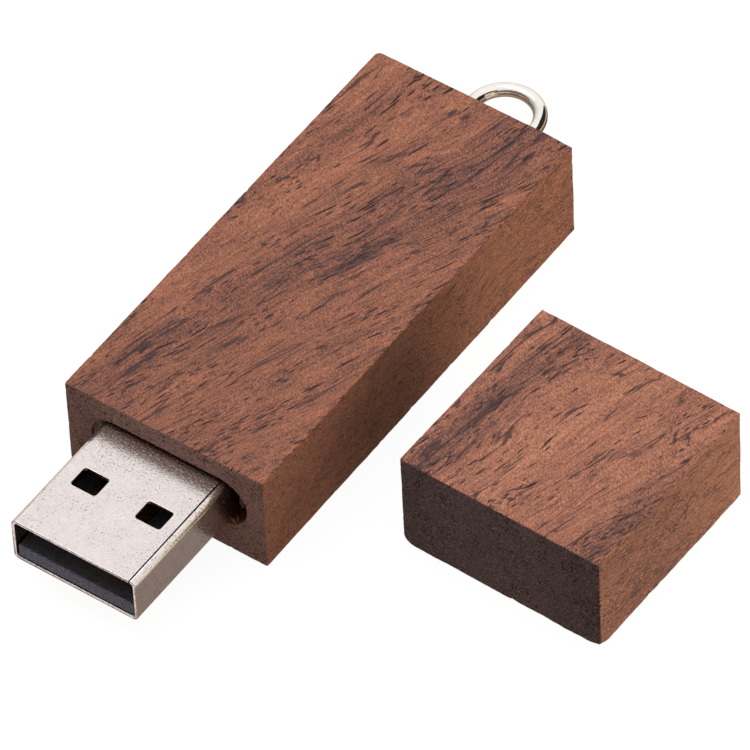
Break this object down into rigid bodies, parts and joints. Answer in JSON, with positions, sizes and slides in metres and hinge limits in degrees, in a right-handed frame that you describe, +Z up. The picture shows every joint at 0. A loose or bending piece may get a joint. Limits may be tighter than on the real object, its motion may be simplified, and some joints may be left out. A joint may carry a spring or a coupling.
{
  "type": "usb flash drive",
  "caption": "Wooden stick-shaped USB flash drive with its cap off: steel-shelled series A plug, circuit board inside, screw eye for a key ring, and a loose wooden cap with a slot for the plug.",
  "frame": {"origin": "centre of the wooden body's underside, on the surface that the drive lies on", "axes": "+Z up, +Y from the plug towards the screw eye, along the drive's length, and +X to the side on which the loose cap lies"},
  "size_m": [0.0459, 0.0621, 0.01],
  "materials": {
    "walnut": "sanded, thinly oiled walnut with open pores",
    "plug_nickel": "satin nickel plating on folded steel sheet",
    "carrier_plastic": "satin black moulding",
    "contact_gold": "gold-plated copper alloy",
    "board_laminate": "green solder mask on glass-epoxy laminate",
    "chip_resin": "matte black moulding compound",
    "crystal_can": "plated metal lid",
    "capacitor_ceramic": "fired ceramic with tinned ends",
    "resistor_body": "glazed film on ceramic with tinned ends",
    "ferrite": "fired ferrite with tinned ends",
    "adhesive": "set clear epoxy",
    "eye_nickel": "bright nickel plating"
  },
  "bodies": {
    "drive": {"wood_body": "walnut", "plug_shell": "plug_nickel", "contact_carrier": "carrier_plastic", "supply_contact": "contact_gold", "data_minus_contact": "contact_gold", "data_plus_contact": "contact_gold", "ground_contact": "contact_gold", "circuit_board": "board_laminate", "flash_chip": "chip_resin", "controller_chip": "chip_resin", "crystal": "crystal_can", "capacitor_1": "capacitor_ceramic", "capacitor_2": "capacitor_ceramic", "capacitor_3": "capacitor_ceramic", "capacitor_4": "capacitor_ceramic", "capacitor_5": "capacitor_ceramic", "resistor_1": "resistor_body", "resistor_2": "resistor_body", "resistor_3": "resistor_body", "resistor_4": "resistor_body", "ferrite_bead": "ferrite", "glue_left": "adhesive", "glue_right": "adhesive"},
    "cap": {"wood_cap": "walnut"},
    "key_eye": {"screw_eye": "eye_nickel"}
  },
  "joints": [
    {"name": "cap_slide", "type": "slide", "parent": "drive", "child": "cap", "axis": [-0.0227, -0.9997, 0], "range_m": [0, 0.012]},
    {"name": "eye_turn", "type": "hinge", "parent": "drive", "child": "key_eye", "pos_m": [0.0001, 0.02135, 0.0045], "axis": [0, 1, 0], "range_deg": [-90, 90]}
  ]
}
